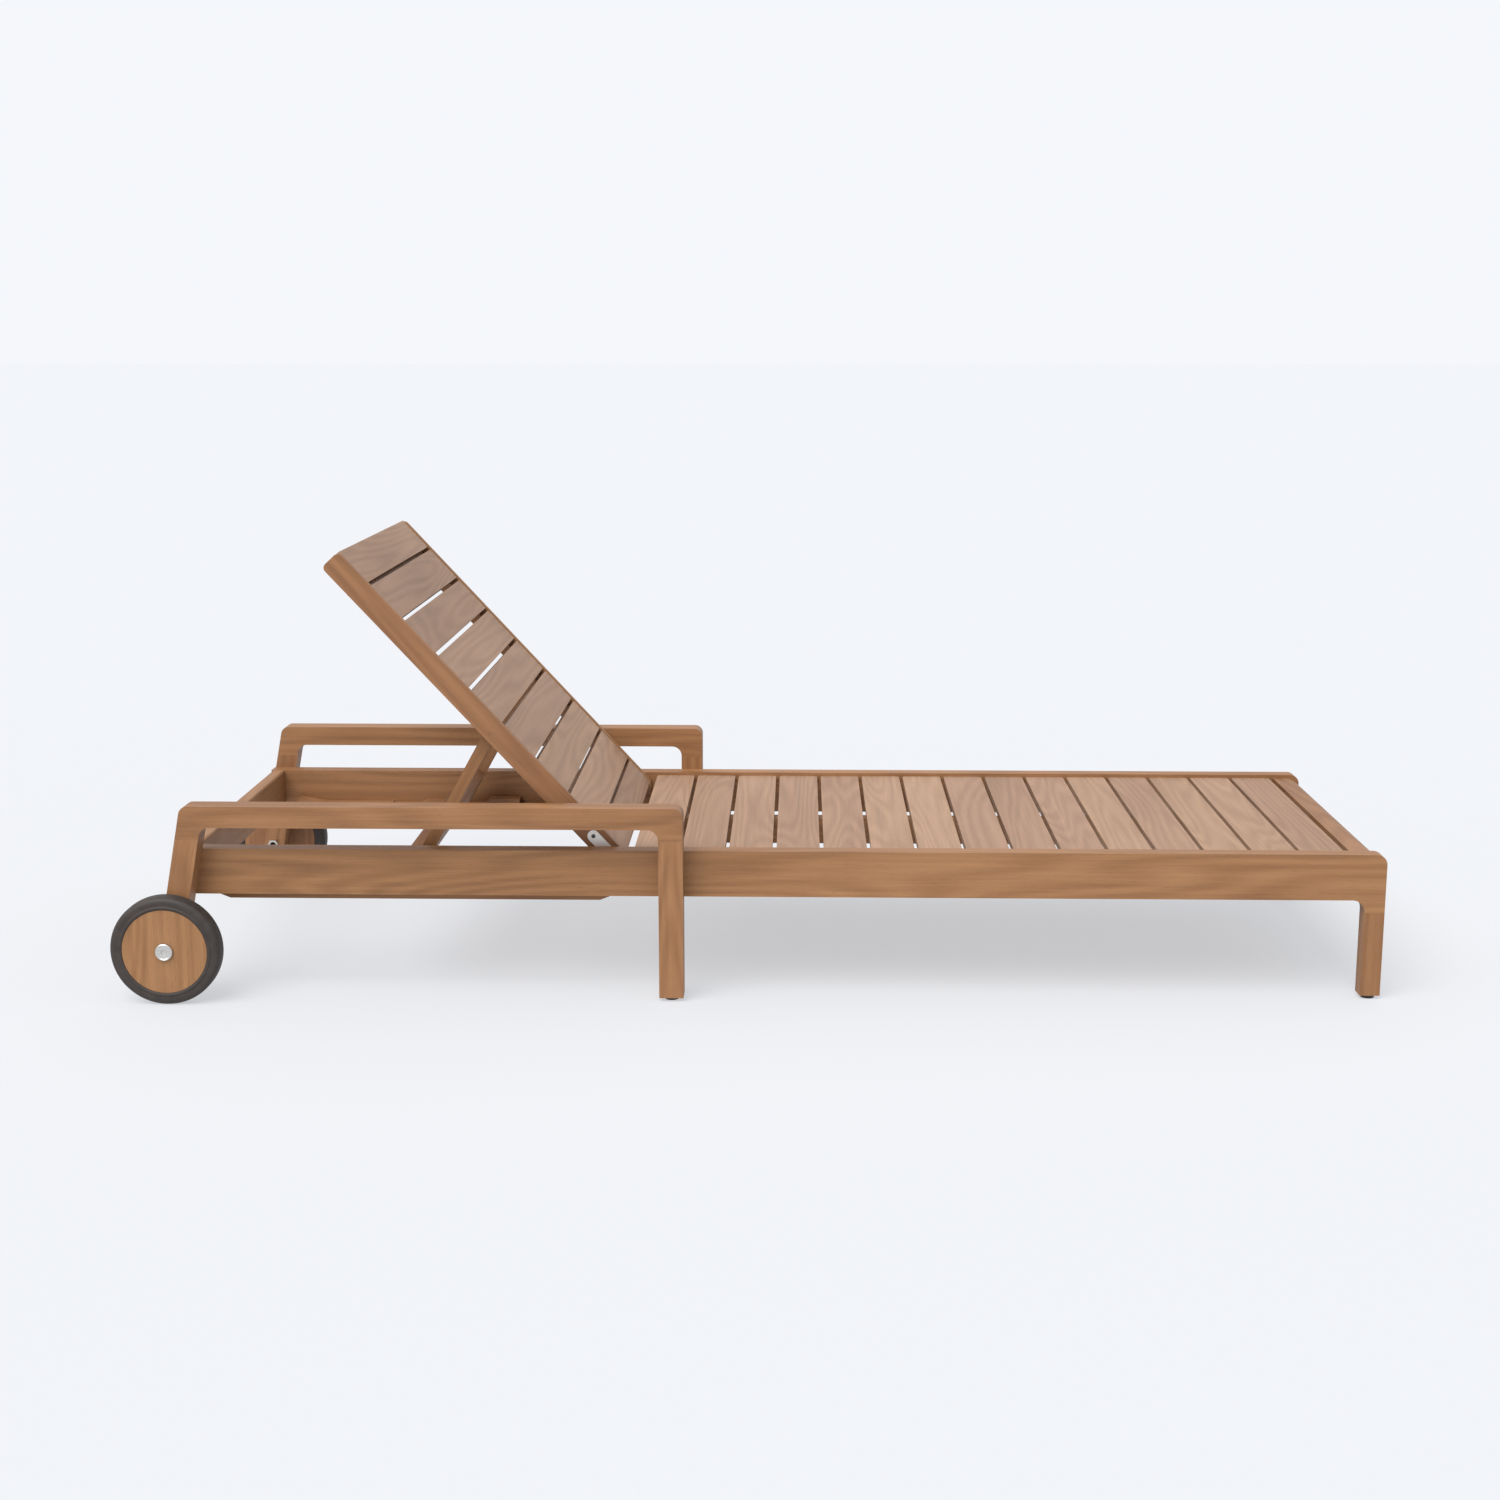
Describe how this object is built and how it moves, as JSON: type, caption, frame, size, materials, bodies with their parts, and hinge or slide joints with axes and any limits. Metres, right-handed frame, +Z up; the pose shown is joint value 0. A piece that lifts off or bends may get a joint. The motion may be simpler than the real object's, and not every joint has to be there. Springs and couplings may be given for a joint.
{
  "type": "reclining sun lounger",
  "caption": "Slatted timber sun lounger with armrests, a hinged backrest held by a prop in notched racks, and transport wheels at the head end.",
  "frame": {"origin": "on the floor, at the middle of the lounger's box", "axes": "+X runs along the bed towards the foot end, +Y runs across it, +Z is up"},
  "size_m": [2.09, 0.8252, 0.7333],
  "materials": {
    "teak_frame": "satin",
    "teak_slat": "matte",
    "tyre_rubber": "matte",
    "glide_plastic": "matte",
    "steel": "satin"
  },
  "bodies": {
    "bed_frame": {"armrest_left": "teak_frame", "armrest_right": "teak_frame", "axle_nuts": "steel", "centre_bearer": "teak_frame", "foot_crossboard": "teak_frame", "foot_glides": "glide_plastic", "front_leg_left": "teak_frame", "front_leg_right": "teak_frame", "head_crossboard": "teak_frame", "hinge_crossrail": "teak_frame", "hinge_pins": "steel", "mid_leg_left": "teak_frame", "mid_leg_right": "teak_frame", "notch_rack_left": "teak_frame", "notch_rack_right": "teak_frame", "rear_leg_left": "teak_frame", "rear_leg_right": "teak_frame", "seat_slat_01": "teak_slat", "seat_slat_02": "teak_slat", "seat_slat_03": "teak_slat", "seat_slat_04": "teak_slat", "seat_slat_05": "teak_slat", "seat_slat_06": "teak_slat", "seat_slat_07": "teak_slat", "seat_slat_08": "teak_slat", "seat_slat_09": "teak_slat", "seat_slat_10": "teak_slat", "seat_slat_11": "teak_slat", "seat_slat_12": "teak_slat", "seat_slat_13": "teak_slat", "seat_slat_14": "teak_slat", "seat_slat_15": "teak_slat", "side_rail_left": "teak_frame", "side_rail_right": "teak_frame", "slat_cleats": "teak_frame", "wheel_axles": "steel"},
    "backrest": {"back_lower_crossrail": "teak_frame", "back_rail_left": "teak_frame", "back_rail_right": "teak_frame", "back_slat_01": "teak_slat", "back_slat_02": "teak_slat", "back_slat_03": "teak_slat", "back_slat_04": "teak_slat", "back_slat_05": "teak_slat", "back_slat_06": "teak_slat", "back_slat_07": "teak_slat", "back_slat_08": "teak_slat", "back_slat_09": "teak_slat", "back_top_crossrail": "teak_frame", "hinge_straps": "steel", "strap_screws": "steel", "pivot_dowels": "teak_frame"},
    "prop": {"prop_leg_left": "teak_frame", "prop_leg_right": "teak_frame", "prop_foot_bar": "teak_frame", "prop_brace": "teak_frame"},
    "wheel_left": {"wheel_disc_left": "teak_frame", "wheel_tyre_left": "tyre_rubber"},
    "wheel_right": {"wheel_disc_right": "teak_frame", "wheel_tyre_right": "tyre_rubber"}
  },
  "joints": [
    {"name": "backrest_recline", "type": "hinge", "parent": "bed_frame", "child": "backrest", "pos_m": [-0.221, 0, 0.222], "axis": [0, 1, 0], "range_deg": [-47.3, 9.3]},
    {"name": "prop_swing", "type": "hinge", "parent": "backrest", "child": "prop", "pos_m": [-0.42903, 0, 0.43417], "axis": [0, 1, 0], "range_deg": [-20.5, 101.2]},
    {"name": "wheel_left_spin", "type": "hinge", "parent": "bed_frame", "child": "wheel_left", "pos_m": [-0.954, 0.391, 0.091], "axis": [0, 1, 0], "continuous": true},
    {"name": "wheel_right_spin", "type": "hinge", "parent": "bed_frame", "child": "wheel_right", "pos_m": [-0.954, -0.391, 0.091], "axis": [0, 1, 0], "continuous": true}
  ],
  "couplings": [
    {"joint": "prop_swing", "follows": "backrest_recline", "ratio": -2.12}
  ]
}
